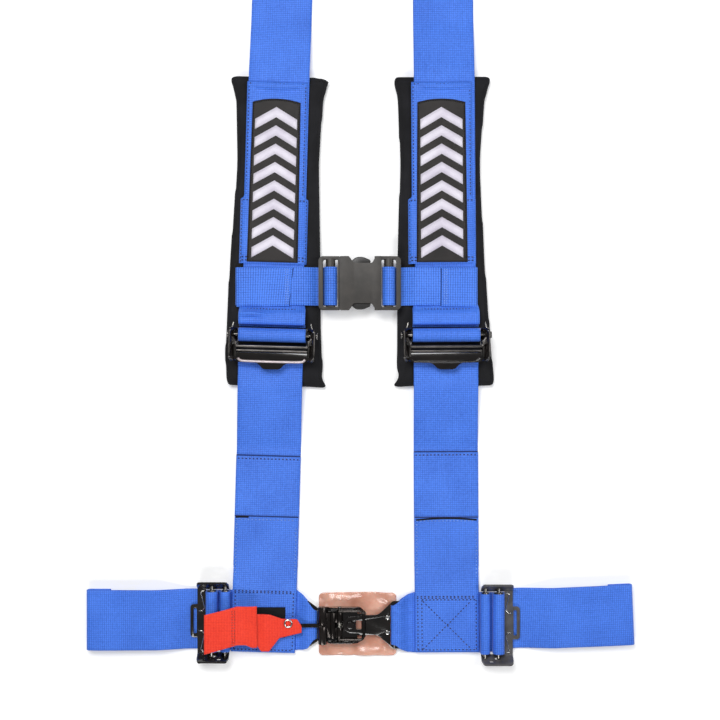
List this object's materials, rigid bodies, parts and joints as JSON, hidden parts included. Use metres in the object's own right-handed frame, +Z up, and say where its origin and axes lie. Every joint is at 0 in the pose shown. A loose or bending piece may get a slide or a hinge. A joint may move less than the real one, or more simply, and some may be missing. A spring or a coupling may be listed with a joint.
{
  "type": "racing harness",
  "caption": "Latch-and-link racing harness in blue webbing, laid flat: padded shoulder straps, sternum strap with side-release buckle, tilt-lock adjusters, lap belts.",
  "frame": {"origin": "centre of the laid-out harness's bounding box, on the surface it lies on", "axes": "+Y from the buckle towards the shoulder anchors, +X towards the wearer's left lap anchor, which is on the right of the picture, +Z up from the surface"},
  "size_m": [0.6668, 0.9142, 0.0335],
  "materials": {
    "pad_cloth": "matt black woven nylon over foam",
    "blue_webbing": "royal blue polyester webbing, soft sheen",
    "patch_satin": "dark satin",
    "red_webbing": "bright red webbing",
    "hook_tape": "black hook-and-loop tape",
    "guard_vinyl": "salmon flexible vinyl, glossy",
    "buckle_plastic": "black acetal, fine grain",
    "spring_steel": "bright spring wire",
    "bright_steel": "nickel plated",
    "bar_steel": "black chrome, polished",
    "latch_steel": "black chrome, polished",
    "frame_steel": "black chrome, polished"
  },
  "bodies": {
    "harness": {"anchor_webbing_left": "blue_webbing", "anchor_webbing_right": "blue_webbing", "buckle_guard": "guard_vinyl", "buckle_strap_left": "blue_webbing", "buckle_strap_right": "blue_webbing", "hook_and_loop_patch": "hook_tape", "junction_overlay_left": "blue_webbing", "junction_overlay_right": "blue_webbing", "lap_strap_left": "blue_webbing", "lap_strap_right": "blue_webbing", "latch_base": "latch_steel", "latch_hinge_pin": "latch_steel", "latch_spring": "spring_steel", "link_plate": "latch_steel", "link_rivets": "bright_steel", "lower_strap_left": "blue_webbing", "lower_strap_right": "blue_webbing", "pad_patch_left": "patch_satin", "pad_patch_right": "patch_satin", "pad_sleeve_left": "blue_webbing", "pad_sleeve_right": "blue_webbing", "shoulder_pad_left": "pad_cloth", "shoulder_pad_right": "pad_cloth", "shoulder_strap_left": "blue_webbing", "shoulder_strap_right": "blue_webbing", "sternum_buckle_insert": "buckle_plastic", "sternum_buckle_socket": "buckle_plastic", "sternum_strap_left": "blue_webbing", "sternum_strap_right": "blue_webbing"},
    "shoulder_adjuster_left": {"shoulder_adjuster_left_frame": "frame_steel", "lower_strap_loop_left": "blue_webbing"},
    "shoulder_lock_left": {"shoulder_adjuster_left_lock_bar": "bar_steel", "shoulder_adjuster_left_strap_wrap": "blue_webbing", "shoulder_adjuster_left_springs": "spring_steel"},
    "lap_adjuster_left": {"lap_adjuster_left_frame": "frame_steel", "lap_adjuster_left_fixed_bar": "bar_steel"},
    "lap_lock_left": {"lap_adjuster_left_lock_bar": "bar_steel", "lap_adjuster_left_strap_wrap": "blue_webbing", "lap_adjuster_left_springs": "spring_steel"},
    "shoulder_lug_left": {"shoulder_bracket_left": "frame_steel"},
    "lap_lug_left": {"lap_bracket_left": "frame_steel"},
    "shoulder_adjuster_right": {"shoulder_adjuster_right_frame": "frame_steel", "lower_strap_loop_right": "blue_webbing"},
    "shoulder_lock_right": {"shoulder_adjuster_right_lock_bar": "bar_steel", "shoulder_adjuster_right_strap_wrap": "blue_webbing", "shoulder_adjuster_right_springs": "spring_steel"},
    "lap_adjuster_right": {"lap_adjuster_right_frame": "frame_steel", "lap_adjuster_right_fixed_bar": "bar_steel"},
    "lap_lock_right": {"lap_adjuster_right_lock_bar": "bar_steel", "lap_adjuster_right_strap_wrap": "blue_webbing", "lap_adjuster_right_springs": "spring_steel"},
    "shoulder_lug_right": {"shoulder_bracket_right": "frame_steel"},
    "lap_lug_right": {"lap_bracket_right": "frame_steel"},
    "release_lever": {"latch_lever": "latch_steel", "pull_tab": "red_webbing", "pull_tab_eyelet": "bright_steel"},
    "front_bail": {"latch_bail": "latch_steel"},
    "prong_upper": {"sternum_prong_upper": "buckle_plastic"},
    "prong_lower": {"sternum_prong_lower": "buckle_plastic"}
  },
  "joints": [
    {"name": "shoulder_adjuster_left_tilt", "type": "hinge", "parent": "harness", "child": "shoulder_adjuster_left", "pos_m": [-0.10654, -0.05709, 0.024], "axis": [-0.9996, 0.0283, 0], "range_deg": [0, 35]},
    {"name": "shoulder_lock_left_slide", "type": "slide", "parent": "shoulder_adjuster_left", "child": "shoulder_lock_left", "axis": [0.0283, 0.9996, 0], "range_m": [0, 0.003], "stiffness_N_per_m": 300},
    {"name": "lap_adjuster_left_tilt", "type": "hinge", "parent": "harness", "child": "lap_adjuster_left", "pos_m": [-0.1648, -0.4049, 0.011], "axis": [0, 1, 0], "range_deg": [0, 25]},
    {"name": "lap_lock_left_slide", "type": "slide", "parent": "lap_adjuster_left", "child": "lap_lock_left", "axis": [1, 0, 0], "range_m": [0, 0.0025], "stiffness_N_per_m": 300},
    {"name": "shoulder_lug_left_swing", "type": "hinge", "parent": "harness", "child": "shoulder_lug_left", "pos_m": [-0.09544, 0.39877, 0.0049], "axis": [0.9996, -0.0283, 0], "range_deg": [0, 95]},
    {"name": "lap_lug_left_swing", "type": "hinge", "parent": "harness", "child": "lap_lug_left", "pos_m": [-0.2907, -0.4031, 0.0049], "axis": [0, 1, 0], "range_deg": [0, 90]},
    {"name": "shoulder_adjuster_right_tilt", "type": "hinge", "parent": "harness", "child": "shoulder_adjuster_right", "pos_m": [0.10339, -0.05691, 0.024], "axis": [-1, -0.0059, 0], "range_deg": [0, 35]},
    {"name": "shoulder_lock_right_slide", "type": "slide", "parent": "shoulder_adjuster_right", "child": "shoulder_lock_right", "axis": [-0.0059, 1, 0], "range_m": [0, 0.003], "stiffness_N_per_m": 300},
    {"name": "lap_adjuster_right_tilt", "type": "hinge", "parent": "harness", "child": "lap_adjuster_right", "pos_m": [0.1516, -0.4077, 0.011], "axis": [0, -1, 0], "range_deg": [0, 25]},
    {"name": "lap_lock_right_slide", "type": "slide", "parent": "lap_adjuster_right", "child": "lap_lock_right", "axis": [-1, 0, 0], "range_m": [0, 0.0025], "stiffness_N_per_m": 300},
    {"name": "shoulder_lug_right_swing", "type": "hinge", "parent": "harness", "child": "shoulder_lug_right", "pos_m": [0.10068, 0.39909, 0.0049], "axis": [1, 0.0059, 0], "range_deg": [0, 95]},
    {"name": "lap_lug_right_swing", "type": "hinge", "parent": "harness", "child": "lap_lug_right", "pos_m": [0.28919, -0.39822, 0.0049], "axis": [0.0419, -0.9991, 0], "range_deg": [0, 90]},
    {"name": "release_lever_lift", "type": "hinge", "parent": "harness", "child": "release_lever", "pos_m": [-0.0257, -0.4099, 0.009], "axis": [0, 1, 0], "range_deg": [0, 75]},
    {"name": "front_bail_lift", "type": "hinge", "parent": "harness", "child": "front_bail", "pos_m": [-0.0257, -0.4099, 0.009], "axis": [0, -1, 0], "range_deg": [0, 60]},
    {"name": "prong_upper_squeeze", "type": "hinge", "parent": "harness", "child": "prong_upper", "pos_m": [-0.0231, 0.0189, 0.0192], "axis": [0, 0, -1], "range_deg": [0, 5], "stiffness_Nm_per_rad": 0.5},
    {"name": "prong_lower_squeeze", "type": "hinge", "parent": "harness", "child": "prong_lower", "pos_m": [-0.0231, -0.0075, 0.0192], "axis": [0, 0, 1], "range_deg": [0, 5], "stiffness_Nm_per_rad": 0.5}
  ],
  "couplings": [
    {"joint": "front_bail_lift", "follows": "release_lever_lift", "ratio": 0.8}
  ]
}
